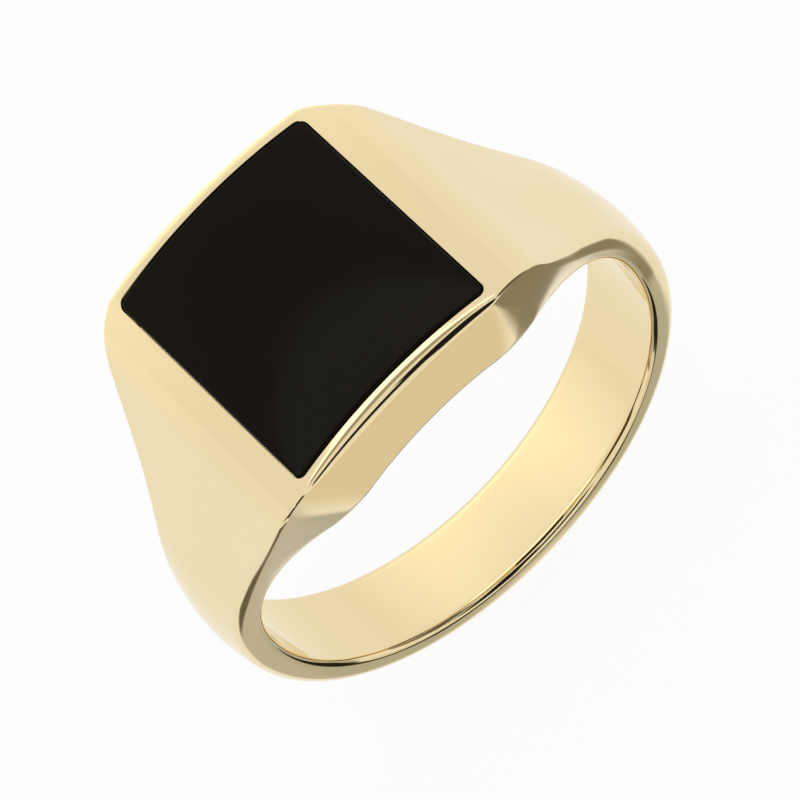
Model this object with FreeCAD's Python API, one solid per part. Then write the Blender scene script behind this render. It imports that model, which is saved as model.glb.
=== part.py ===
"""Signet ring: a cast gold ring body with a black onyx set flush in its head.

Frame: the finger runs along Y, the head points up along +Z, and the origin is
the centre of the finger hole. Lengths are in millimetres, angles in degrees.
Angles go round the finger axis, from 0 at the middle of the head to 180 at the
back of the shank.

The ring body is a loft of radial sections for the shank and its sweeping
shoulders, joined to a walled head. The front outline then trims the top, so
that table, crease and shoulders share one profile. The stone rests on a ledge
round an open back, on a thin bed of cement.
"""

import FreeCAD
import Part
import math
import os

OUT = "parts"
V = FreeCAD.Vector

# ---------------------------------------------------------------- finger hole
finger_radius = 9.80           # UK size T

# ---------------------------------------------------------------- head
head_height = 13.63            # finger axis to the middle of the table
table_curve_radius = 16.00     # the table is curved across the finger
head_half_length = 6.15        # along the finger, at the table
wall_lean = 0.25               # each end wall draws in this much down to the hole
wall_angle = 21.0              # the flat end walls reach this far round
crease_radius = 1.10           # rounding between table and shoulder
crease_blend = 0.04            # the crease stands this far over the shoulder loft
rim_half_width = 5.86          # across the finger
rim_corner_radius = 1.10       # the table's four corners, seen from above
rim_corner_depth = 1.42        # from the middle of the table to the corners' foot
rim_bevel = 0.15               # broken edge between table and end wall

# ---------------------------------------------------------------- shank
shoulder_slope = 64.3          # steepness of the shoulder faces
hoop_edge_thickness = 1.10     # at the corners of the section, at the sides
back_edge_thickness = 1.07     # the same at the back
hoop_crown = 0.36              # rise of the D section from corner to crest
shoulder_crown = 0.02          # the same where shoulder meets head
shoulder_half_width = 5.83     # half width where shoulder meets head
hoop_half_width = 2.19         # half width of the shank at the sides
back_half_width = 2.00         # half width at the back
taper_power = 1.86             # how quickly the shoulders draw in
head_angle = 26.0              # where the shoulders start
shank_angle = 92.0             # where the shoulders have run out
shoulder_edge_radius = 0.62    # rounding of the long edges near the head
hoop_edge_radius = 0.50        # rounding of the long edges of the shank
comfort_bevel = 0.25           # broken edge all round the finger hole
shoulder_sections = 11         # radial sections from head to side
back_sections = 6              # and from there to the back

# ---------------------------------------------------------------- stone and seat
stone_half_width = 4.83        # across the finger
stone_half_length = 5.44       # along the finger
stone_corner_radius = 0.32
stone_offset = -0.13           # set by hand, this far from the middle of the table
stone_thickness = 1.95         # at the middle
stone_dome = 0.12              # the polished top rises this much over the table
stone_back_bevel = 0.20
seat_clearance = 0.03          # between the stone and the wall of its seat
cement_thickness = 0.08
ledge_width = 1.15             # carries the stone all round
window_corner_radius = 0.80    # the open back behind the stone

# ---------------------------------------------------------------- derived values
back_angle = 180.0
table_axis_height = head_height - table_curve_radius
stone_back_height = head_height + stone_dome - stone_thickness
seat_height = stone_back_height - cement_thickness
window_half_width = stone_half_width - ledge_width
window_half_length = stone_half_length - ledge_width
loft_overlap = 8.0             # the loft runs this far into the head, in degrees
bore_allowance = 0.6           # cast undersize here, then bored to size
reach = 4.0                    # cutting solids pass the ring by this much
fit = 0.002                    # an edge this near a face lies on it
deep = head_half_length + reach
top = head_height + reach


def blend(angle, start, end):
    """Smooth step from 0 at start to 1 at end."""
    t = min(1.0, max(0.0, (angle - start) / (end - start)))
    return t * t * (3.0 - 2.0 * t)


def half_width(angle):
    """Half width of the shank, which flares from the sides up to the head."""
    if angle < shank_angle:
        t = (shank_angle - angle) / (shank_angle - head_angle)
        return hoop_half_width + (shoulder_half_width - hoop_half_width) * t ** taper_power
    t = blend(angle, shank_angle, back_angle)
    return hoop_half_width + (back_half_width - hoop_half_width) * t


def corner_distance(angle):
    """Distance from the finger axis to the corners of the section."""
    t = blend(angle, shank_angle, back_angle)
    thickness = hoop_edge_thickness + (back_edge_thickness - hoop_edge_thickness) * t
    rise = math.radians(max(0.0, shoulder_slope - angle))
    return (finger_radius + thickness) / math.cos(rise)


def section(angle, side):
    """Closed D section in a radial plane, side is 1 or -1 for the two shoulders."""
    turn = math.radians(angle) * side
    outward = V(math.sin(turn), 0, math.cos(turn))
    t = blend(angle, head_angle, shank_angle)
    crown = shoulder_crown + (hoop_crown - shoulder_crown) * t
    rounding = shoulder_edge_radius + (hoop_edge_radius - shoulder_edge_radius) * t
    half = half_width(angle)
    foot = finger_radius - bore_allowance
    corner = corner_distance(angle)

    # the crown is a parabola over the width, in two halves that meet at the
    # crest; each corner is rounded between the side face and the crown, both
    # touched at the rounding's distance
    inset = half - rounding
    shoulder = corner + crown * (1.0 - (inset / half) ** 2)
    slope = 2.0 * crown * inset / half ** 2
    edge = shoulder - slope * rounding
    crest = corner + crown
    middle = shoulder + slope * inset / 2.0

    def at(y, r):
        return outward * r + V(0, y, 0)

    def curve(*poles):
        bezier = Part.BezierCurve()
        bezier.setPoles(list(poles))
        return bezier.toShape()

    return Part.Wire([
        Part.LineSegment(at(-half, foot), at(half, foot)).toShape(),
        Part.LineSegment(at(half, foot), at(half, edge - rounding)).toShape(),
        curve(at(half, edge - rounding), at(half, edge), at(inset, shoulder)),
        curve(at(inset, shoulder), at(inset / 2.0, middle), at(0, crest)),
        curve(at(0, crest), at(-inset / 2.0, middle), at(-inset, shoulder)),
        curve(at(-inset, shoulder), at(-half, edge), at(-half, edge - rounding)),
        Part.LineSegment(at(-half, edge - rounding), at(-half, foot)).toShape(),
    ])


def shank():
    """Loft right round the finger, both ends inside the head."""
    start = head_angle - loft_overlap
    span = (shank_angle - start) / shoulder_sections
    angles = [start + span * i for i in range(shoulder_sections)]
    span = (back_angle - shank_angle) / back_sections
    angles += [shank_angle + span * i for i in range(back_sections)]
    sections = [section(a, 1) for a in angles]
    sections.append(section(back_angle, 1))
    sections += [section(a, -1) for a in reversed(angles)]
    return Part.makeLoft(sections, True, False)


def head_block():
    """Wedge that fills the head between the shoulders."""
    turn = math.tan(math.radians(wall_angle))
    low = finger_radius - bore_allowance
    outline = [V(-low * turn, -deep, low), V(low * turn, -deep, low),
               V(top * turn, -deep, top), V(-top * turn, -deep, top)]
    face = Part.Face(Part.makePolygon(outline + outline[:1]))
    return face.extrude(V(0, 2 * deep, 0))


def between_walls():
    """Space between the two leaning end walls."""
    lean = wall_lean / (head_height - finger_radius)
    wide = finger_radius + head_height
    low = -wide
    y_top = head_half_length + lean * reach
    y_low = head_half_length - lean * (head_height - low)
    outline = [V(-wide, -y_top, top), V(-wide, y_top, top),
               V(-wide, y_low, low), V(-wide, -y_low, low)]
    face = Part.Face(Part.makePolygon(outline + outline[:1]))
    return face.extrude(V(2 * wide, 0, 0))


def column(half_x, half_y, radius, low, high, middle=0.0):
    """Upright block with rounded corners, its middle at this x."""
    corner = V(middle - half_x, -half_y, low)
    block = Part.makeBox(2 * half_x, 2 * half_y, high - low, corner)
    upright = [e for e in block.Edges if abs(e.Vertexes[0].Z - e.Vertexes[1].Z) > (high - low) / 2]
    return block.makeFillet(radius, upright)


def crease():
    """Centre of the crease rounding on the right, from above and from outside.

    The circle touches the table from inside and the straight shoulder.
    """
    slope = math.radians(shoulder_slope)
    line = finger_radius + hoop_edge_thickness + crease_blend - crease_radius
    line -= table_axis_height * math.cos(slope)
    round_path = table_curve_radius - crease_radius
    turn = slope - math.acos(line / round_path)
    x = round_path * math.sin(turn)
    z = table_axis_height + round_path * math.cos(turn)
    return V(x, 0, z), turn, slope


def front_outline():
    """Table, creases and shoulders, as a solid along the finger."""
    centre, turn, slope = crease()

    def on_crease(angle):
        return centre + V(math.sin(angle), 0, math.cos(angle)) * crease_radius

    def mirror(point):
        return V(-point.x, 0, point.z)

    start = on_crease(turn)
    middle = on_crease((turn + slope) / 2)
    end = on_crease(slope)
    foot = end + V(math.cos(slope), 0, -math.sin(slope)) * reach
    face = Part.Face(Part.Wire([
        Part.Arc(mirror(start), V(0, 0, head_height), start).toShape(),
        Part.Arc(start, middle, end).toShape(),
        Part.LineSegment(end, foot).toShape(),
        Part.LineSegment(foot, mirror(foot)).toShape(),
        Part.LineSegment(mirror(foot), mirror(end)).toShape(),
        Part.Arc(mirror(end), mirror(middle), mirror(start)).toShape(),
    ]))
    face.translate(V(0, -deep, 0))
    return face.extrude(V(0, 2 * deep, 0))


def waste_over_head():
    """All that is cast over the table and creases, and outside the rim's corners."""
    centre, turn, slope = crease()
    crease_foot = centre.z + crease_radius * math.cos(slope)
    over = Part.makeBox(2 * top, 2 * deep, top - crease_foot, V(-top, -deep, crease_foot))
    over = over.cut(front_outline())
    foot = head_height - rim_corner_depth
    rim = column(rim_half_width, head_half_length, rim_corner_radius, foot, top)
    x = rim_half_width - rim_corner_radius
    y = head_half_length - rim_corner_radius
    corners = []
    for sx in (-1, 1):
        for sy in (-1, 1):
            block = Part.makeBox(reach, reach, top - foot, V(-reach / 2, -reach / 2, foot))
            block.translate(V(sx * (x + reach / 2), sy * (y + reach / 2), 0))
            corners.append(block.cut(rim))
    return over.fuse(corners)


def lies_on(edge, radius, height):
    """True for an edge round the ring on this cylinder about a line along the finger."""
    points = edge.discretize(5)
    across = max(p.x for p in points) - min(p.x for p in points)
    return across > 2.0 * rim_corner_radius and all(
        abs(math.hypot(p.x, p.z - height) - radius) < fit for p in points)


def ring_body():
    """Shank, shoulders and head in one casting, bored and cut for the stone."""
    body = shank().fuse(head_block()).common(between_walls())
    body = body.cut(waste_over_head())
    bore = Part.makeCylinder(finger_radius, 2 * deep, V(0, -deep, 0), V(0, 1, 0))
    body = body.cut(bore)
    body = body.makeChamfer(comfort_bevel, [
        e for e in body.Edges if lies_on(e, finger_radius, 0)])
    body = body.makeChamfer(rim_bevel, [
        e for e in body.Edges if lies_on(e, table_curve_radius, table_axis_height)])
    seat = column(stone_half_width + seat_clearance, stone_half_length + seat_clearance,
                  stone_corner_radius + seat_clearance, seat_height, top, stone_offset)
    window = column(window_half_width, window_half_length, window_corner_radius,
                    0, top, stone_offset)
    return body.cut(seat).cut(window).Solids[0]


def onyx_stone():
    """Flat-backed tablet, its top domed along the finger and curved across it."""
    tablet = column(stone_half_width, stone_half_length, stone_corner_radius,
                    stone_back_height, top, stone_offset)
    back = [e for e in tablet.Edges if e.BoundBox.ZMax < stone_back_height + 0.001]
    tablet = tablet.makeChamfer(stone_back_bevel, back)
    low = V(0, -stone_half_length, table_axis_height)
    high = V(0, stone_half_length, table_axis_height)
    rise = V(0, 0, table_curve_radius)
    dome = Part.Face(Part.Wire([
        Part.LineSegment(high, low).toShape(),
        Part.LineSegment(low, low + rise).toShape(),
        Part.Arc(low + rise, V(0, 0, head_height + stone_dome), high + rise).toShape(),
        Part.LineSegment(high + rise, high).toShape(),
    ])).revolve(V(0, 0, table_axis_height), V(0, 1, 0), 360)
    return tablet.common(dome).Solids[0]


def cement_bed():
    """Thin frame of cement between the ledge and the back of the stone."""
    bed = column(stone_half_width - stone_back_bevel, stone_half_length - stone_back_bevel,
                 stone_corner_radius, seat_height, stone_back_height, stone_offset)
    window = column(window_half_width, window_half_length, window_corner_radius,
                    seat_height - reach, stone_back_height + reach, stone_offset)
    return bed.cut(window).Solids[0]


os.makedirs(OUT, exist_ok=True)
pieces = {
    "ring_body": ring_body(),
    "onyx_stone": onyx_stone(),
    "cement_bed": cement_bed(),
}
for name, shape in pieces.items():
    shape.exportStep(os.path.join(OUT, name + ".step"))
    print(name, "valid", shape.isValid(), "volume mm3", round(shape.Volume, 2))
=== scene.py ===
"""Signet ring: polished gold body and black onyx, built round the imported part."""

import math

import bpy
import numpy as np
from mathutils import Matrix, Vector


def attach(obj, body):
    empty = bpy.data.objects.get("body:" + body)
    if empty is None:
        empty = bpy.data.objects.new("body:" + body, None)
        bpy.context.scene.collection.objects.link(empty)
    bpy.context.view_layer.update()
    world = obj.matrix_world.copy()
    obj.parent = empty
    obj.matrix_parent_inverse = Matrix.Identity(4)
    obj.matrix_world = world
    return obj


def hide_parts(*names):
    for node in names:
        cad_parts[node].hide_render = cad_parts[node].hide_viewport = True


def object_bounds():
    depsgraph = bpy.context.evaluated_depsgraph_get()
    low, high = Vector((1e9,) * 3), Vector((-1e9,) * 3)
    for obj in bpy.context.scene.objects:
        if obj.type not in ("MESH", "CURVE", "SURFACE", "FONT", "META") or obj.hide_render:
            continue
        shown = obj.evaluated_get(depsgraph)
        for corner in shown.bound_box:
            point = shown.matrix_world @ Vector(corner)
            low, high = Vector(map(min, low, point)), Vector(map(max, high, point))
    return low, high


bl_info = {
    "name": "Signet Ring",
    "version": (1, 0, 0),
    "blender": (4, 5, 0),
    "location": "View3D > Sidebar > Signet Ring",
    "description": "Builds a gold signet ring with a flush black onyx",
    "category": "Add Mesh",
}

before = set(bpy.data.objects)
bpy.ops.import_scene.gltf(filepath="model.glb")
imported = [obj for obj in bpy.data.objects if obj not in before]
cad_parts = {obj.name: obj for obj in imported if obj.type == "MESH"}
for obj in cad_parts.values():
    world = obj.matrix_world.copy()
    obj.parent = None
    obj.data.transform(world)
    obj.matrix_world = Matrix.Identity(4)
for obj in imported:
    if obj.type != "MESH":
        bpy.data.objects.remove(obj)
CAD_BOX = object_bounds()

MM = 0.001
BODY = "root"


# ------------------------------------------------------------------ settings

def length(name, description, default_mm):
    """A length property, given in millimetres and kept in metres."""
    return bpy.props.FloatProperty(name=name, description=description,
                                   default=default_mm * MM, min=0.0,
                                   precision=5, unit="LENGTH", subtype="DISTANCE")


def colour(name, description, default):
    """A colour property, written as linear red, green and blue."""
    return bpy.props.FloatVectorProperty(name=name, description=description,
                                         default=default, size=3, min=0.0, max=1.0,
                                         subtype="COLOR")


def turn(name, description, default_degrees):
    """An angle property, given in degrees and kept in radians."""
    return bpy.props.FloatProperty(name=name, description=description,
                                   default=math.radians(default_degrees), subtype="ANGLE")


def share(name, description, default):
    """A property from 0 to 1."""
    return bpy.props.FloatProperty(name=name, description=description,
                                   default=default, min=0.0, max=1.0, subtype="FACTOR")


class RingSizes(bpy.types.PropertyGroup):
    finger_radius: length("Finger radius", "Inside radius of the ring", 9.80)
    comfort_radius: length("Comfort radius", "Rounding of the finger hole's edges", 0.32)
    head_height: length("Head height", "Finger axis to the middle of the table", 13.63)
    table_radius: length("Table radius", "Curve of the table across the finger", 16.00)
    head_half_length: length("Head half length", "Middle of the head to an end wall", 6.15)
    wall_lean: length("Wall lean", "How far each end wall draws in at the hole", 0.25)
    wall_bulge: length("Wall bulge", "How far each end wall is bowed out", 0.06)
    crease_radius: length("Crease radius", "Rounding between table and shoulder", 1.10)
    rim_half_width: length("Rim half width", "Middle of the head to its creases", 5.86)
    rim_edge_middle: length("Rim edge at middle", "Rolled edge over an end wall", 0.46)
    rim_edge_corner: length("Rim edge at corner", "Rolled edge at the corners", 0.14)
    wall_corner: length("Wall corner", "Rounding between wall and facet", 0.60)
    hoop_edge: length("Hoop edge", "Shank thickness at its long edges", 1.095)
    back_edge: length("Back edge", "The same at the back of the shank", 1.065)
    hoop_crown: length("Hoop crown", "Rise of the shank from edge to crest", 0.36)
    shoulder_half_width: length("Shoulder half width", "Where shoulder meets head", 5.83)
    hoop_half_width: length("Hoop half width", "Half width at the sides", 2.19)
    back_half_width: length("Back half width", "Half width at the back", 2.00)
    shoulder_edge_radius: length("Shoulder edge radius", "Long edges near the head", 0.17)
    hoop_edge_radius: length("Hoop edge radius", "Long edges of the shank", 0.56)
    shoulder_slope: turn("Shoulder slope", "Steepness of the shoulder faces", 64.3)


class StoneSizes(bpy.types.PropertyGroup):
    half_width: length("Half width", "Across the finger", 4.83)
    half_length: length("Half length", "Along the finger", 5.44)
    corner: length("Corner radius", "Plan rounding of the corners", 0.32)
    offset: bpy.props.FloatProperty(name="Offset", description="Set this far off the middle",
                                    default=-0.13 * MM, precision=5,
                                    unit="LENGTH", subtype="DISTANCE")
    thickness: length("Thickness", "At the middle", 1.95)
    dome: length("Dome", "Rise of the polished top over the table", 0.113)
    edge: length("Edge rounding", "Polished edge of the top", 0.07)
    bevel: length("Back bevel", "Bevel round the flat back", 0.20)
    clearance: length("Clearance", "Gap to the wall of the seat", 0.03)
    ledge: length("Ledge", "Width of the ledge that carries the stone", 1.15)
    window_corner: length("Window corner", "Corners of the open back", 0.80)
    cement: length("Cement", "Thickness of the cement bed", 0.08)


class Finish(bpy.types.PropertyGroup):
    gold: colour("Gold", "Colour of the polished gold", (0.86, 0.71, 0.42))
    onyx: colour("Onyx", "Colour of the stone", (0.0036, 0.0021, 0.0004))
    cement: colour("Cement", "Colour of the cured cement", (0.42, 0.36, 0.25))
    gold_roughness: share("Gold roughness", "Polish of the gold", 0.06)
    onyx_roughness: share("Onyx roughness", "Polish of the stone", 0.07)


class Studio(bpy.types.PropertyGroup):
    floor: colour("Floor", "Colour of the floor", (0.92, 0.92, 0.92))
    background: share("Background", "Share of plain white in what the floor shows", 0.90)
    room: share("Room light", "Strength of the white room", 0.95)
    distance: length("Camera distance", "From the middle of the finger hole", 250.0)
    view_width: length("View width", "What the view spans at the finger hole", 30.7078)
    elevation: turn("Elevation", "Camera over the horizon", 59.148)
    azimuth: turn("Azimuth", "Camera round the head", -3.552)
    roll: turn("Roll", "Turn of the camera about its view", 47.587)


# ------------------------------------------------------------------ distances

def blend(value, start, end):
    """Smooth step, 3 t squared less 2 t cubed, from 0 at start to 1 at end."""
    t = np.clip((value - start) / (end - start), 0.0, 1.0)
    return t * t * (3.0 - 2.0 * t)


def round_max(a, b, radius):
    """Intersection of two solids given by distances, its edge rounded.

    The larger distance, except near the edge, where it is the distance to a
    circle that touches both faces.
    """
    corner = np.hypot(np.maximum(a + radius, 0.0), np.maximum(b + radius, 0.0))
    return np.minimum(np.maximum(a, b), -radius) + corner


HEAD_ANGLE = math.radians(26.0)    # the head's corners, seen from the finger's axis
EDGE_ANGLE = math.radians(52.0)    # from here on the long edges are rounded in full
SHANK_ANGLE = math.radians(92.0)   # the taper of the shoulders ends here
TAPER_POWER = 1.86
ANGLE_STEP = 1e-4                  # for the steepness of the taper, in radians


def shank_half_width(angle, s):
    """Half width of the shank round the finger.

    From the sides up to the head it is the hoop's plus a power of the share of
    the way, and from the sides to the back a smooth step to the back's.
    """
    t = np.maximum((SHANK_ANGLE - angle) / (SHANK_ANGLE - HEAD_ANGLE), 0.0)
    flare = (s.shoulder_half_width - s.hoop_half_width) * t ** TAPER_POWER
    back = (s.back_half_width - s.hoop_half_width) * blend(angle, SHANK_ANGLE, math.pi)
    return s.hoop_half_width + flare + back


# Small faces at the head's corners: direction, and a point on the face in millimetres.
LEFT_CORNER = ((0.71, 0.46, 0.53), (5.76, 5.80, 12.65))
RIGHT_CORNER = ((0.40, 0.917, 0.0), (4.62, 6.12, 12.0))


def corner_plane(x, y, z, corner):
    """Distance beyond the small face that takes off a corner of the head."""
    (nx, ny, nz), (px, py, pz) = corner
    return nx * (x - px * MM) + ny * (y - py * MM) + nz * (z - pz * MM)


def ring_distance(x, y, z, s):
    """Signed distance to the ring body without its seat, negative in the gold.

    Table: a cylinder along the finger. Shoulders and hoop: straight lines that
    run tangent into a circle, with a crown of parabolas. Sides: the facets at
    the shank's half width and the leaning end walls. All are intersected with
    rounded edges, the head's corners are taken off by small planes, and the
    finger hole is taken away.
    """
    ax = np.abs(x)
    ay = np.abs(y)
    r = np.hypot(x, z)
    angle = np.arctan2(ax, z)
    slope = s.shoulder_slope
    axis = s.head_height - s.table_radius

    table = np.hypot(x, z - axis) - s.table_radius
    half = shank_half_width(angle, s)
    to_shank = blend(angle, HEAD_ANGLE, SHANK_ANGLE)
    to_back = blend(angle, SHANK_ANGLE, math.pi)
    edge = s.hoop_edge + (s.back_edge - s.hoop_edge) * to_back
    crown = s.hoop_crown * to_shank * (1.0 - (ay / half) ** 2)
    outer = r * np.cos(np.maximum(slope - angle, 0.0)) - s.finger_radius - edge - crown
    top = round_max(table, outer, s.crease_radius)

    growth = (shank_half_width(angle + ANGLE_STEP, s) - half) / ANGLE_STEP
    steepness = growth / np.maximum(r, s.finger_radius)
    facet = (ay - half) / np.sqrt(1.0 + steepness ** 2)
    lean = s.wall_lean / (s.head_height - s.finger_radius)
    across = np.minimum(ax / s.rim_half_width, 1.0)
    bulge = s.wall_bulge * across ** 2
    wall = ay + bulge - (s.head_half_length - lean * (s.head_height - z))

    to_hoop = blend(angle, HEAD_ANGLE, EDGE_ANGLE)
    long_edge = s.shoulder_edge_radius
    long_edge = long_edge + (s.hoop_edge_radius - s.shoulder_edge_radius) * to_hoop
    roll = s.rim_edge_middle + (s.rim_edge_corner - s.rim_edge_middle) * across ** 2
    body = round_max(top, facet, long_edge)
    body = np.maximum(body, round_max(top, wall, roll))
    body = np.maximum(body, round_max(facet, wall, s.wall_corner))

    body = round_max(body, corner_plane(-x, ay, z, LEFT_CORNER), s.rim_edge_corner)
    body = round_max(body, corner_plane(x, ay, z, RIGHT_CORNER), s.rim_edge_corner)
    return round_max(body, s.finger_radius - r, s.comfort_radius)


# ------------------------------------------------------------------ mesh tools

SHARP_ANGLE = math.radians(38.0)   # edges steeper than this stay crisp


def closed_grid(points):
    """Quads over a grid of points that closes on itself both ways."""
    rows, columns = points.shape[:2]
    i = np.arange(rows)[:, None]
    j = np.arange(columns)[None, :]
    a = i * columns + j
    b = i * columns + (j + 1) % columns
    c = (i + 1) % rows * columns + (j + 1) % columns
    d = (i + 1) % rows * columns + j
    return np.stack([a, b, c, d], axis=-1).reshape(-1, 4)


def stacked_loops(loops):
    """Quads between loops stacked on each other, with both ends closed by fans.

    The two points that the fans meet in come last, and are the end loops' middles.
    """
    rows, columns = loops.shape[:2]
    ends = [loops[:1].mean(axis=1), loops[-1:].mean(axis=1)]
    verts = np.concatenate([loops.reshape(-1, 3)] + ends)
    i = np.arange(rows - 1)[:, None]
    j = np.arange(columns)[None, :]
    k = (j + 1) % columns
    quads = np.stack([i * columns + j, i * columns + k,
                      (i + 1) * columns + k, (i + 1) * columns + j], axis=-1).reshape(-1, 4)
    j = np.arange(columns)
    k = (j + 1) % columns
    first = np.stack([k, j, np.full(columns, rows * columns)], axis=-1)
    last_row = (rows - 1) * columns
    last = np.stack([last_row + j, last_row + k,
                     np.full(columns, rows * columns + 1)], axis=-1)
    return verts, [quads, first, last]


def mesh_object(name, verts, faces, material=None):
    """New object from an array of points and arrays of faces, shaded smooth."""
    groups = faces if isinstance(faces, list) else [faces]
    mesh = bpy.data.meshes.new(name)
    mesh.from_pydata(verts.tolist(), [], [f for g in groups for f in g.tolist()])
    mesh.validate()
    mesh.shade_smooth()
    piece = bpy.data.objects.new(name, mesh)
    bpy.context.scene.collection.objects.link(piece)
    if material:
        mesh.materials.append(material)
    return piece


def rounded_rectangle(half_x, half_y, radius, per_side, per_corner):
    """Loop of points round a rectangle with round corners, even on each part.

    Sides are straight, corners are quarter circles, anticlockwise from +X.
    """
    side = np.linspace(-1.0, 1.0, per_side, endpoint=False)
    bend = np.linspace(0.0, math.pi / 2, per_corner, endpoint=False)
    x = half_x - radius
    y = half_y - radius
    parts = []
    for quarter, (run, off) in enumerate(((y, half_x), (x, half_y)) * 2):
        a = quarter * math.pi / 2
        straight = np.stack([np.full(per_side, off), side * run], axis=-1)
        arc = np.stack([off - radius + radius * np.cos(bend),
                        run + radius * np.sin(bend)], axis=-1)
        px, py = np.concatenate([straight, arc]).T
        parts.append(np.stack([px * math.cos(a) - py * math.sin(a),
                               px * math.sin(a) + py * math.cos(a)], axis=-1))
    return np.concatenate(parts)


def cut(piece, cutter):
    """Takes the cutter's solid out of the piece and removes the cutter."""
    modifier = piece.modifiers.new("Cut", "BOOLEAN")
    modifier.operation = "DIFFERENCE"
    modifier.solver = "EXACT"
    modifier.object = cutter
    bpy.context.view_layer.update()
    graph = bpy.context.evaluated_depsgraph_get()
    mesh = bpy.data.meshes.new_from_object(piece.evaluated_get(graph))
    piece.modifiers.clear()
    old = piece.data
    piece.data = mesh
    bpy.data.meshes.remove(old)
    bpy.data.objects.remove(cutter)


# ------------------------------------------------------------------ ring body

ROWS = 580
TOP_COLUMNS = 76
SIDE_COLUMNS = 32
BORE_COLUMNS = 24
EVEN_SHARE = 0.30                  # the rest of a side's points are drawn to its ends

FINE_ANGLES = 8001                 # samples that the sections are spread over
CREASE_SPREAD = math.radians(4.0)  # sections crowd this near the head's corners
CREASE_CROWD = 11.0
DENSE_HEAD = math.radians(32.0)    # and are a little closer over the head
HEAD_CROWD = 0.8

SKIN_REACH = 9.0 * MM              # further than any skin from a point inside
HALVINGS = 36
DEPTH_SHARE = 0.6                  # the width is measured this far up the section
WIDTH_SHARE = 0.9                  # and its height this far out


def row_angles():
    """Angles of the radial sections, closer together round the creases."""
    fine = np.linspace(-math.pi, math.pi, FINE_ANGLES)
    bump = np.exp(-((np.abs(fine) - HEAD_ANGLE) / CREASE_SPREAD) ** 2)
    density = 1.0 + CREASE_CROWD * bump + HEAD_CROWD * (np.abs(fine) < DENSE_HEAD)
    total = np.concatenate([[0.0], np.cumsum((density[1:] + density[:-1]) / 2)])
    return np.interp(np.arange(ROWS) / ROWS * total[-1], total, fine)


def side_spacing(count):
    """Shares from 0 to 1 along a side, some even and the rest drawn to its ends."""
    t = np.arange(count) / count
    return EVEN_SHARE * t + (1.0 - EVEN_SHARE) * (1.0 - np.cos(math.pi * t)) / 2


def along(angle, r, y, dr, dy, s):
    """How far the skin lies from a point inside the gold, in one direction.

    The point and the direction are in a radial section, and halving finds
    where the distance is zero.
    """
    near = np.zeros(np.broadcast(angle, r, y, dr, dy).shape)
    far = np.full_like(near, SKIN_REACH)
    for _ in range(HALVINGS):
        t = (near + far) / 2
        at = r + dr * t
        place = (at * np.sin(angle), y + dy * t, at * np.cos(angle))
        inside = ring_distance(*place, s) < 0.0
        near = np.where(inside, t, near)
        far = np.where(inside, far, t)
    return near


def ring_surface(s):
    """Points of the ring body's skin, one row for each radial section.

    From the middle of each section a ray goes out to each point of a frame
    whose corners are the section's own, and the skin is found along it.
    """
    angle = row_angles()[:, None]
    a = np.abs(angle)
    rise = np.maximum(s.shoulder_slope - a, 0.0)
    axis = s.head_height - s.table_radius
    hoop = (s.finger_radius + s.hoop_edge) / np.cos(rise)
    table = axis * np.cos(a) + np.sqrt(s.table_radius ** 2 - (axis * np.sin(a)) ** 2)
    outer = np.where(a < SHANK_ANGLE, np.minimum(hoop, table),
                     s.finger_radius + s.hoop_edge)
    inside = s.finger_radius + DEPTH_SHARE * (outer - s.finger_radius)
    half = along(angle, inside, 0.0, 0.0, 1.0, s)
    outer = inside + along(angle, inside, WIDTH_SHARE * half, 1.0, 0.0, s)
    middle = (outer + s.finger_radius) / 2
    thick = (outer - s.finger_radius) / 2

    top = side_spacing(TOP_COLUMNS)
    side = side_spacing(SIDE_COLUMNS)
    bore = side_spacing(BORE_COLUMNS)
    across = np.concatenate([2 * top - 1, np.ones(SIDE_COLUMNS),
                             1 - 2 * bore, -np.ones(SIDE_COLUMNS)])
    up = np.concatenate([np.ones(TOP_COLUMNS), 1 - 2 * side,
                         -np.ones(BORE_COLUMNS), 2 * side - 1])
    dy = across[None, :] * half
    dr = up[None, :] * thick
    size = np.hypot(dy, dr)
    dy = dy / size
    dr = dr / size
    t = along(angle, middle, 0.0, dr, dy, s)
    r = middle + dr * t
    return np.stack([r * np.sin(angle), dy * t, r * np.cos(angle)], axis=-1)


STONE_SIDE_POINTS = 24
STONE_CORNER_POINTS = 10
WINDOW_SIDE_POINTS = 8
WINDOW_CORNER_POINTS = 12
WINDOW_ENDS = (5.0, 12.5)          # heights in the finger hole and in the seat, mm

# How far the seat is widened, and how high over the table, both in millimetres.
SEAT_MOUTH = ((0.00, -0.110), (0.006, -0.060), (0.022, -0.025), (0.055, 0.010), (0.30, 0.20))


def seat_cutter(s, t):
    """Solid that cuts the stone's seat, flared along the curved table.

    Loops of a rounded rectangle: level at the floor, and then at set heights
    from the table's cylinder, from under it to over it, each wider than the last.
    """
    axis = s.head_height - s.table_radius
    floor = s.head_height + t.dome - t.thickness - t.cement
    loops = []
    for grow in (0.0,) + tuple(grow for grow, _ in SEAT_MOUTH):
        wide = t.clearance + grow * MM
        loops.append(rounded_rectangle(t.half_width + wide, t.half_length + wide,
                                       t.corner + wide,
                                       STONE_SIDE_POINTS, STONE_CORNER_POINTS))
    flat = np.stack(loops) + np.array([t.offset, 0.0])
    z = np.empty(flat.shape[:2])
    z[0] = floor
    for k, (_, over) in enumerate(SEAT_MOUTH, start=1):
        z[k] = axis + np.sqrt(s.table_radius ** 2 - flat[k, :, 0] ** 2) + over * MM
    points = np.concatenate([flat, z[..., None]], axis=-1)
    verts, faces = stacked_loops(points)
    return mesh_object("seat_cutter", verts, faces)


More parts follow.
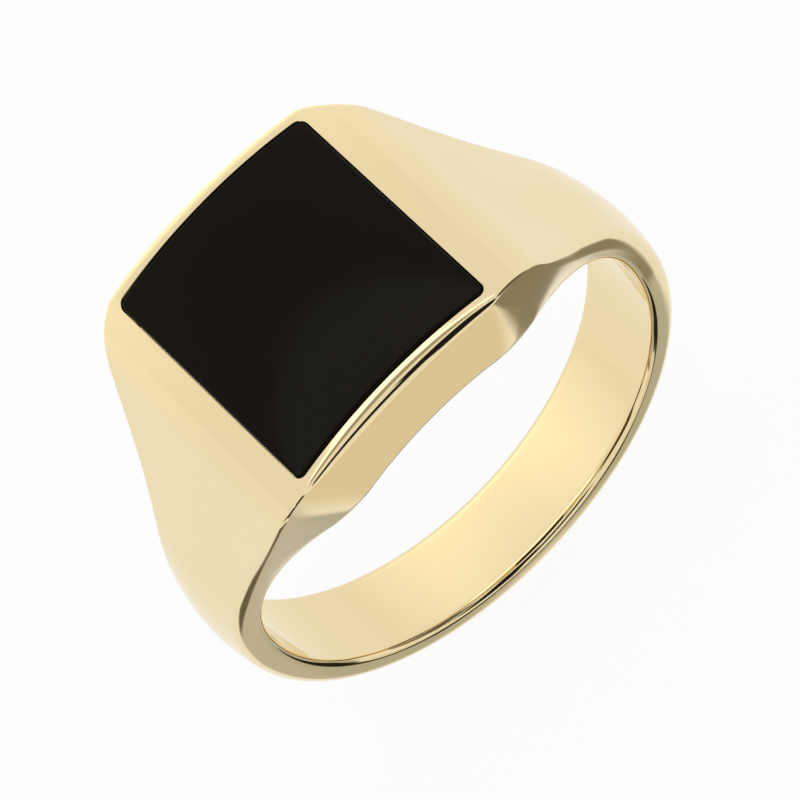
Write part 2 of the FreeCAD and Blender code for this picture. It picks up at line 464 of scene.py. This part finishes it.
def window_cutter(s, t):
    """Upright rounded block that opens the back of the seat."""
    loop = rounded_rectangle(t.half_width - t.ledge, t.half_length - t.ledge,
                             t.window_corner, WINDOW_SIDE_POINTS, WINDOW_CORNER_POINTS)
    loop = loop + np.array([t.offset, 0.0])
    loops = [np.column_stack([loop, np.full(len(loop), z * MM)]) for z in WINDOW_ENDS]
    verts, faces = stacked_loops(np.stack(loops))
    return mesh_object("window_cutter", verts, faces)


class RING_OT_body(bpy.types.Operator):
    """Makes the gold ring body with its seat and open back"""
    bl_idname = "signet.ring_body"
    bl_label = "Ring body"

    def execute(self, context):
        s = context.scene.signet_ring
        t = context.scene.signet_stone
        points = ring_surface(s)
        piece = mesh_object("gold_ring_body", points.reshape(-1, 3), closed_grid(points),
                            gold_material(context.scene.signet_finish))
        cut(piece, seat_cutter(s, t))
        cut(piece, window_cutter(s, t))
        piece.data.shade_smooth()
        piece.data.set_sharp_from_angle(angle=SHARP_ANGLE)
        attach(piece, BODY)
        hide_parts("ring_body")
        return {"FINISHED"}


# ------------------------------------------------------------------ stone

BACK_SHARES = (0.25, 0.6, 1.0)     # loops of the flat back, as shares of its outline
EDGE_LOOPS = 6
TOP_LOOPS = 44
TOP_MIDDLE = 0.02                  # the last loop of the top, closed by a fan
LEAST_CORNER = 0.02 * MM


def stone_surface(s, t):
    """Loops of the onyx from its flat back, up its sides and over its top.

    The top's height over the table's axis is the table's radius plus a
    parabola along the finger; the radius turned about that axis gives the
    curve across. Its edge drops by a quarter circle.
    """
    axis = s.head_height - s.table_radius
    back = s.head_height + t.dome - t.thickness

    def loop(grow):
        return rounded_rectangle(t.half_width + grow, t.half_length + grow,
                                 max(t.corner + grow, LEAST_CORNER),
                                 STONE_SIDE_POINTS, STONE_CORNER_POINTS)

    def top_height(flat, drop):
        reach = s.table_radius + t.dome * (1.0 - (flat[:, 1] / t.half_length) ** 2)
        return axis + np.sqrt(reach ** 2 - (flat[:, 0] + t.offset) ** 2) - drop

    rows = []
    outline = loop(-t.bevel)
    for part in BACK_SHARES:
        rows.append(np.column_stack([outline * part, np.full(len(outline), back)]))
    outline = loop(0.0)
    rows.append(np.column_stack([outline, np.full(len(outline), back + t.bevel)]))
    for tilt in np.linspace(0.0, math.pi / 2, EDGE_LOOPS):
        inset = t.edge * (1.0 - math.cos(tilt))
        drop = t.edge * (1.0 - math.sin(tilt))
        flat = loop(-inset)
        rows.append(np.column_stack([flat, top_height(flat, drop)]))
    for part in np.linspace(1.0, TOP_MIDDLE, TOP_LOOPS)[1:]:
        flat = loop(-t.edge) * part
        rows.append(np.column_stack([flat, top_height(flat, 0.0)]))
    return np.stack(rows) + np.array([t.offset, 0.0, 0.0])


class RING_OT_stone(bpy.types.Operator):
    """Makes the black onyx tablet"""
    bl_idname = "signet.stone"
    bl_label = "Onyx stone"

    def execute(self, context):
        rows = stone_surface(context.scene.signet_ring, context.scene.signet_stone)
        verts, faces = stacked_loops(rows)
        piece = mesh_object("onyx_tablet", verts, faces,
                            onyx_material(context.scene.signet_finish))
        piece.data.set_sharp_from_angle(angle=SHARP_ANGLE)
        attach(piece, BODY)
        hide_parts("onyx_stone")
        return {"FINISHED"}


class RING_OT_cement(bpy.types.Operator):
    """Gives the cement bed its finish"""
    bl_idname = "signet.cement"
    bl_label = "Cement bed"

    def execute(self, context):
        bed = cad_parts["cement_bed"]
        bed.data.materials.clear()
        bed.data.materials.append(cement_material(context.scene.signet_finish))
        return {"FINISHED"}


# ------------------------------------------------------------------ materials

class Shader:
    """A new node material with short calls to add and link its nodes."""

    def __init__(self, name):
        self.material = bpy.data.materials.new(name)
        self.material.use_nodes = True
        self.tree = self.material.node_tree
        self.tree.nodes.clear()
        self.output = self.add("ShaderNodeOutputMaterial")
        self.surface = self.add("ShaderNodeBsdfPrincipled")
        self.link(self.surface, "BSDF", self.output, "Surface")
        self.place = self.add("ShaderNodeTexCoord")

    def add(self, kind, **inputs):
        """Adds a node and sets the named inputs."""
        node = self.tree.nodes.new(kind)
        for key, value in inputs.items():
            node.inputs[key].default_value = value
        return node

    def sum(self, first, first_out, second, second_out):
        """Adds two values."""
        node = self.add("ShaderNodeMath")
        self.link(first, first_out, node, 0)
        self.link(second, second_out, node, 1)
        return node

    def link(self, source, out, target, into):
        """Joins an output to an input, each by name or number."""
        self.tree.links.new(source.outputs[out], target.inputs[into])

    def noise(self, scale, detail=3.0, roughness=0.5, stretch=None):
        """Noise over the piece's own coordinates, in metres."""
        node = self.add("ShaderNodeTexNoise", Scale=scale, Detail=detail, Roughness=roughness)
        if stretch:
            mapping = self.add("ShaderNodeMapping")
            mapping.inputs["Scale"].default_value = stretch
            self.link(self.place, "Object", mapping, "Vector")
            self.link(mapping, "Vector", node, "Vector")
        else:
            self.link(self.place, "Object", node, "Vector")
        return node

    def ramp(self, source, out, low, high, from_low=0.0, from_high=1.0):
        """Maps a value from one range to another, held at its ends."""
        node = self.add("ShaderNodeMapRange")
        node.inputs["From Min"].default_value = from_low
        node.inputs["From Max"].default_value = from_high
        node.inputs["To Min"].default_value = low
        node.inputs["To Max"].default_value = high
        self.link(source, out, node, "Value")
        return node

    def clouded(self, source, out, first, second):
        """Gives the surface a colour between two, by a value from 0 to 1."""
        node = self.add("ShaderNodeMix")
        node.data_type = "RGBA"
        low, high = [i for i in node.inputs if i.type == "RGBA"]
        low.default_value = first
        high.default_value = second
        self.link(source, out, node, 0)
        mixed = [o for o in node.outputs if o.type == "RGBA"][0]
        self.tree.links.new(mixed, self.surface.inputs["Base Color"])

    def polish(self, source, out, low, high, from_low=0.0, from_high=1.0):
        """Lets the surface's roughness follow a value."""
        rough = self.ramp(source, out, low, high, from_low, from_high)
        self.link(rough, "Result", self.surface, "Roughness")

    def bump(self, source, out, strength, depth):
        """Tilts the surface by the slope of a value, its depth in metres."""
        node = self.add("ShaderNodeBump", Strength=strength, Distance=depth)
        self.link(source, out, node, "Height")
        self.link(node, "Normal", self.surface, "Normal")


def opaque(rgb, strength=1.0):
    """Colour for a shader socket, made darker or brighter by the strength."""
    return (rgb[0] * strength, rgb[1] * strength, rgb[2] * strength, 1.0)


def gold_material(finish):
    """Polished yellow gold with faint clouding, buffing lines and soft wear."""
    m = Shader("polished_yellow_gold")
    m.surface.inputs["Metallic"].default_value = 1.0
    cloud = m.noise(260.0, 3.0)
    m.clouded(cloud, "Fac", opaque(finish.gold), opaque(finish.gold, 0.965))
    wear = m.noise(900.0, 4.0, 0.6)
    m.polish(wear, "Fac", finish.gold_roughness * 0.75, finish.gold_roughness * 1.35, 0.3, 0.7)
    lines = m.noise(1400.0, 2.0, 0.5, stretch=(1.0, 0.12, 1.0))
    m.bump(lines, "Fac", 0.03, 0.00001)
    return m.material


def onyx_material(finish):
    """Black onyx: near black with faint brown bands under a glassy polish."""
    m = Shader("polished_black_onyx")
    m.surface.inputs["IOR"].default_value = 1.54
    m.surface.inputs["Specular IOR Level"].default_value = 0.06
    band = m.noise(120.0, 4.0, 0.55, stretch=(0.35, 1.0, 0.35))
    m.clouded(band, "Fac", opaque(finish.onyx, 0.75), opaque(finish.onyx, 1.4))
    wear = m.noise(700.0, 3.0)
    m.polish(wear, "Fac", finish.onyx_roughness * 0.8, finish.onyx_roughness * 1.3, 0.3, 0.7)
    m.bump(wear, "Fac", 0.01, 0.00001)
    return m.material


def cement_material(finish):
    """Cured adhesive, matte and slightly uneven."""
    m = Shader("cured_cement")
    grain = m.noise(2500.0, 3.0)
    m.clouded(grain, "Fac", opaque(finish.cement, 0.8), opaque(finish.cement, 1.1))
    m.polish(grain, "Fac", 0.5, 0.75)
    m.bump(grain, "Fac", 0.2, 0.00002)
    return m.material


# ------------------------------------------------------------------ studio

SENSOR_WIDTH = 36.0
SHIFT_RIGHT = -0.8804              # of the camera, along its own axes, in millimetres
SHIFT_UP = 1.0331
FLOOR_HALF = 3.0                   # metres


def add_camera(studio):
    """Camera that looks down on the head, turned about its view by the roll."""
    e, a, roll = studio.elevation, studio.azimuth, studio.roll
    back = np.array([math.sin(a) * math.cos(e), -math.cos(a) * math.cos(e), math.sin(e)])
    level = np.array([math.cos(a), math.sin(a), 0.0])
    over = np.cross(back, level)
    right = level * math.sin(roll) - over * math.cos(roll)
    up = level * math.cos(roll) + over * math.sin(roll)
    centre = studio.distance * back + SHIFT_RIGHT * MM * right + SHIFT_UP * MM * up
    data = bpy.data.cameras.new("studio_camera")
    data.sensor_width = SENSOR_WIDTH
    data.sensor_fit = "HORIZONTAL"
    data.lens = studio.distance / studio.view_width * SENSOR_WIDTH
    data.clip_start = 0.01
    data.clip_end = 20.0
    camera = bpy.data.objects.new("studio_camera", data)
    bpy.context.scene.collection.objects.link(camera)
    matrix = np.eye(4)
    matrix[:3] = np.column_stack([right, up, back, centre])
    camera.matrix_world = Matrix(matrix.tolist())
    bpy.context.scene.camera = camera


def seen_directly(shader):
    """Adds the share of rays that show the plain white background."""
    path = shader.add("ShaderNodeLightPath")
    direct = shader.sum(path, "Is Camera Ray", path, "Is Glossy Ray")
    return shader.sum(direct, "Value", path, "Is Transmission Ray")


def add_floor(studio):
    """Pale floor that the ring stands on, plain white away from its shadow."""
    z = CAD_BOX[0][2]
    verts = np.array([(x * FLOOR_HALF, y * FLOOR_HALF, z)
                      for x, y in ((-1, -1), (1, -1), (1, 1), (-1, 1))])
    m = Shader("white_floor")
    m.surface.inputs["Base Color"].default_value = opaque(studio.floor)
    m.surface.inputs["Roughness"].default_value = 0.6
    m.surface.inputs["Specular IOR Level"].default_value = 0.2
    white = m.add("ShaderNodeEmission", Strength=1.0)
    mix = m.add("ShaderNodeMixShader")
    plain = m.ramp(seen_directly(m), "Value", 0.0, studio.background)
    m.link(plain, "Result", mix, 0)
    m.link(m.surface, "BSDF", mix, 1)
    m.link(white, "Emission", mix, 2)
    m.link(mix, "Shader", m.output, "Surface")
    floor = mesh_object("floor", verts, np.array([(0, 1, 2, 3)]), m.material)


# Cards round the ring, each with its middle, the point that it faces, its width and
# height, its brightness in red, green and blue, and the soft share of its edges. The
# lengths are in millimetres. The flags are dark, and the softboxes light the gold. The
# grey and dark sheets lying level by the ring are painted shadow of the ring on the
# floor, which only the gold shows.
CARD_POINTS = 41
CARDS = (
    ("right_flag", (26, -15, 12), (0, 0, 12), (26, 26),
     (0.12, 0.11, 0.08), 0.3),
    ("left_flag", (-28.7, -8.8, 14), (0, 0, 14), (22, 26),
     (0.030, 0.025, 0.018), 0.25),
    ("camera_flag", (-10, -62, 42), (0, 0, 8), (56, 34),
     (0.015, 0.015, 0.015), 0.15),
    ("front_right_flag", (25, -60, 42), (0, 0, 8), (40, 80),
     (0.015, 0.015, 0.015), 0.1),
    # Painted shadow: the next five sheets lie level by the ring and stand in for the ring's
    # shadow on the floor, as the gold reflects it.
    ("right_painted_shadow", (23.5, -11.6, -3), (23.5, -11.6, 0), (33, 16.6),
     (0.285, 0.258, 0.200), 0.06),
    ("left_far_painted_shadow", (-27, -8.5, -11.08), (-27, -8.5, 0), (16, 13),
     (0.16, 0.14, 0.10), 0.3),
    ("left_painted_shadow", (-16, -8.5, -11.1), (-16, -8.5, 0), (14, 13),
     (0.60, 0.58, 0.57), 0.2),
    ("front_painted_deep_shadow", (0, -7.4, -11.08), (0, -7.4, 0), (10, 5.6),
     (0.020, 0.018, 0.012), 0.2),
    ("front_painted_shadow", (0, -6, -11.12), (0, -6, 0), (28, 8),
     (0.52, 0.54, 0.52), 0.25),
    ("front_warm_card", (-1, -22, -11.14), (-1, -22, 0), (22, 24),
     (0.82, 0.77, 0.64), 0.3),
    ("back_softbox", (-2, 25, 16), (-2, 0, 16), (100, 56),
     (1.38, 1.36, 1.22), 0.9),
    ("top_softbox", (0, 43, 100), (0, 43, 0), (200, 16),
     (1.8, 1.8, 1.8), 0.25),
    ("top_grey_card", (-15, 8, 100), (-15, 8, 0), (150, 54),
     (0.42, 0.40, 0.33), 0.3),
)


def add_card(name, middle, towards, size, level, soft):
    """Card that only polished surfaces show, level bright, with soft edges.

    It is square to the line from its middle to the point that it faces. Its
    strength is 1 inside and falls in a smooth step over the soft share of its
    half size to nothing at its edges.
    """
    middle = np.array(middle) * MM
    facing = np.array(towards) * MM - middle
    facing /= np.linalg.norm(facing)
    side = np.cross(facing, (0.0, 0.0, 1.0))
    if np.linalg.norm(side) < 1e-3:    # it faces straight up or down
        side = np.array((1.0, 0.0, 0.0))
    side = side / np.linalg.norm(side)
    up = np.cross(side, facing)
    t = np.linspace(-1.0, 1.0, CARD_POINTS)
    a, b = [g.ravel()[:, None] for g in np.meshgrid(t, t, indexing="ij")]
    verts = middle + a * side * size[0] * MM / 2.0 + b * up * size[1] * MM / 2.0
    row = np.arange(CARD_POINTS - 1)
    i, j = [g.ravel() for g in np.meshgrid(row, row, indexing="ij")]
    quads = np.stack([i * CARD_POINTS + j, i * CARD_POINTS + j + 1,
                      (i + 1) * CARD_POINTS + j + 1, (i + 1) * CARD_POINTS + j], axis=-1)
    m = Shader(name + "_face")
    glow = m.add("ShaderNodeEmission", Color=opaque(level), Strength=1.0)
    clear = m.add("ShaderNodeBsdfTransparent")
    strength = m.add("ShaderNodeAttribute")
    strength.attribute_name = "strength"
    mix = m.add("ShaderNodeMixShader")
    m.link(strength, "Fac", mix, 0)
    m.link(clear, "BSDF", mix, 1)
    m.link(glow, "Emission", mix, 2)
    m.link(mix, "Shader", m.output, "Surface")
    card = mesh_object(name, verts, quads, m.material)
    edge = (1.0 - np.abs(np.concatenate([a, b], axis=1))) / soft
    strengths = np.prod(blend(edge, 0.0, 1.0), axis=1)
    attribute = card.data.attributes.new("strength", "FLOAT", "POINT")
    attribute.data.foreach_set("value", strengths.astype(np.float32))
    card.visible_camera = False
    card.visible_diffuse = False
    card.visible_transmission = False
    card.visible_shadow = False


def add_world(studio):
    """Soft white room light."""
    world = bpy.data.worlds.new("white_room")
    bpy.context.scene.world = world
    world.use_nodes = True
    background = world.node_tree.nodes["Background"]
    background.inputs["Color"].default_value = (1.0, 1.0, 1.0, 1.0)
    background.inputs["Strength"].default_value = studio.room


class RING_OT_stage(bpy.types.Operator):
    """Sets up the floor, the cards, the room light and the camera"""
    bl_idname = "signet.stage"
    bl_label = "Stage"

    def execute(self, context):
        studio = context.scene.signet_studio
        context.scene.view_settings.view_transform = "Standard"
        add_camera(studio)
        add_floor(studio)
        for card in CARDS:
            add_card(*card)
        add_world(studio)
        return {"FINISHED"}


# ------------------------------------------------------------------ panel

GROUPS = {
    "signet_ring": RingSizes,
    "signet_stone": StoneSizes,
    "signet_finish": Finish,
    "signet_studio": Studio,
}
OPERATORS = (RING_OT_body, RING_OT_stone, RING_OT_cement, RING_OT_stage)


class RING_PT_panel(bpy.types.Panel):
    """Sizes, finishes and steps of the signet ring"""
    bl_idname = "RING_PT_panel"
    bl_label = "Signet Ring"
    bl_space_type = "VIEW_3D"
    bl_region_type = "UI"
    bl_category = "Signet Ring"

    def draw(self, context):
        for group in GROUPS:
            settings = getattr(context.scene, group)
            for key in settings.__annotations__:
                self.layout.prop(settings, key)
        for operator in OPERATORS:
            self.layout.operator(operator.bl_idname)


CLASSES = tuple(GROUPS.values()) + OPERATORS + (RING_PT_panel,)


def register():
    """Adds the settings, the steps and the panel to Blender."""
    for cls in CLASSES:
        bpy.utils.register_class(cls)
    for key, cls in GROUPS.items():
        setattr(bpy.types.Scene, key, bpy.props.PointerProperty(type=cls))


def unregister():
    """Takes them out again."""
    for key in GROUPS:
        delattr(bpy.types.Scene, key)
    for cls in reversed(CLASSES):
        bpy.utils.unregister_class(cls)


def main():
    """Builds the ring and its stage."""
    register()
    bpy.ops.signet.ring_body()
    bpy.ops.signet.stone()
    bpy.ops.signet.cement()
    bpy.ops.signet.stage()


if __name__ == "__main__":
    main()
